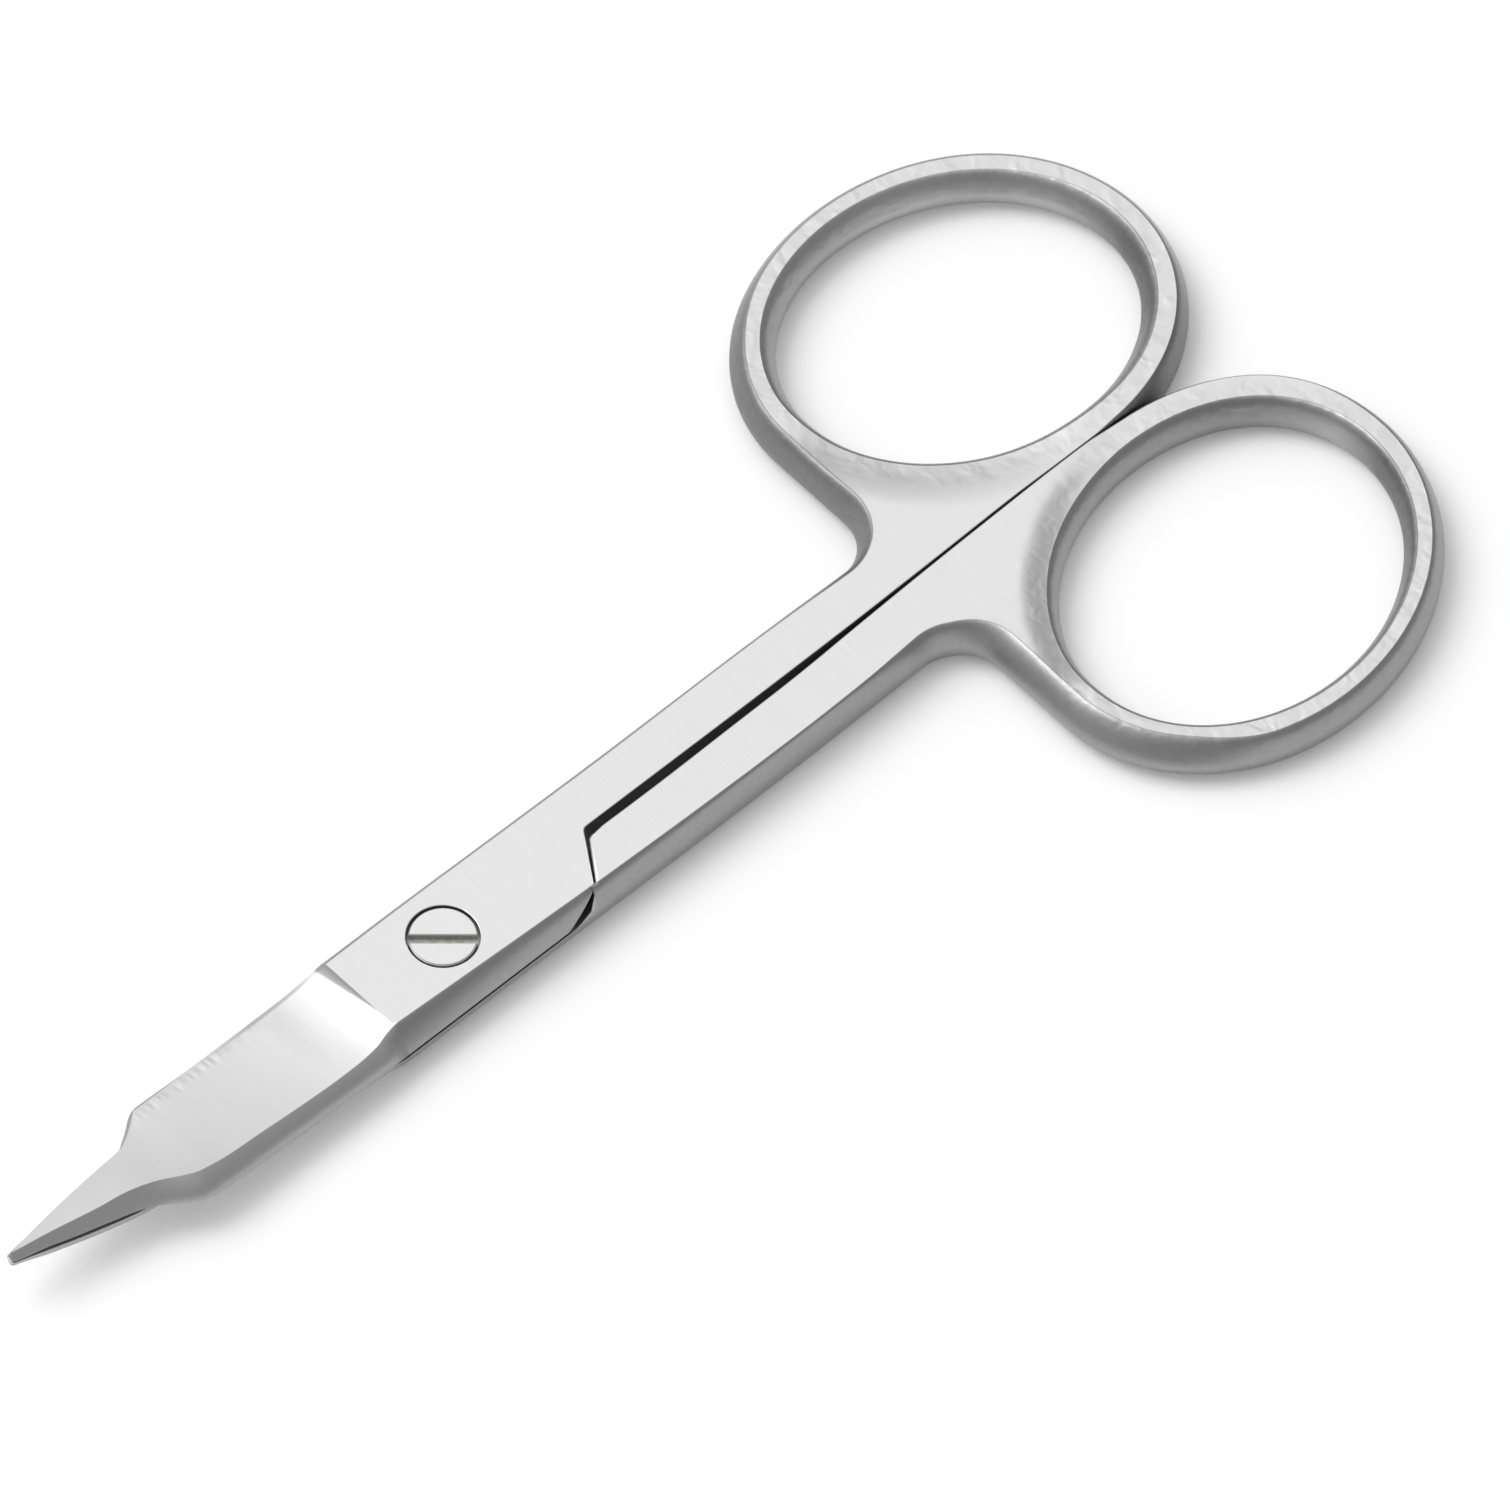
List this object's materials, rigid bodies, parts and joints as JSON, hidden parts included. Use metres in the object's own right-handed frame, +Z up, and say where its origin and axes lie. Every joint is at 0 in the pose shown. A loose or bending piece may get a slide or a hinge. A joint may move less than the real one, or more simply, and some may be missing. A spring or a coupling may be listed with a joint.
{
  "type": "curved nail scissors",
  "caption": "Steel nail scissors with curved, beaked blades that cross at a flush slotted screw, slim shanks and oval finger rings.",
  "frame": {"origin": "on the pivot screw's axis, level with the underside of the closed scissors, which they rest on", "axes": "+X along the closed scissors to the blade tips, +Y to the side of the lower half's finger ring, +Z up along the screw's axis, to its slotted head"},
  "size_m": [0.0897, 0.043, 0.0036],
  "materials": {
    "satin_steel": "satin-brushed stainless steel",
    "screw_steel": "face-turned stainless steel, ground flush"
  },
  "bodies": {
    "lower": {"lower_half": "satin_steel", "pivot_screw": "screw_steel"},
    "upper": {"upper_half": "satin_steel"}
  },
  "joints": [
    {"name": "pivot", "type": "hinge", "parent": "lower", "child": "upper", "pos_m": [0, 0, 0], "axis": [0, 0, 1], "range_deg": [0, 120]}
  ]
}
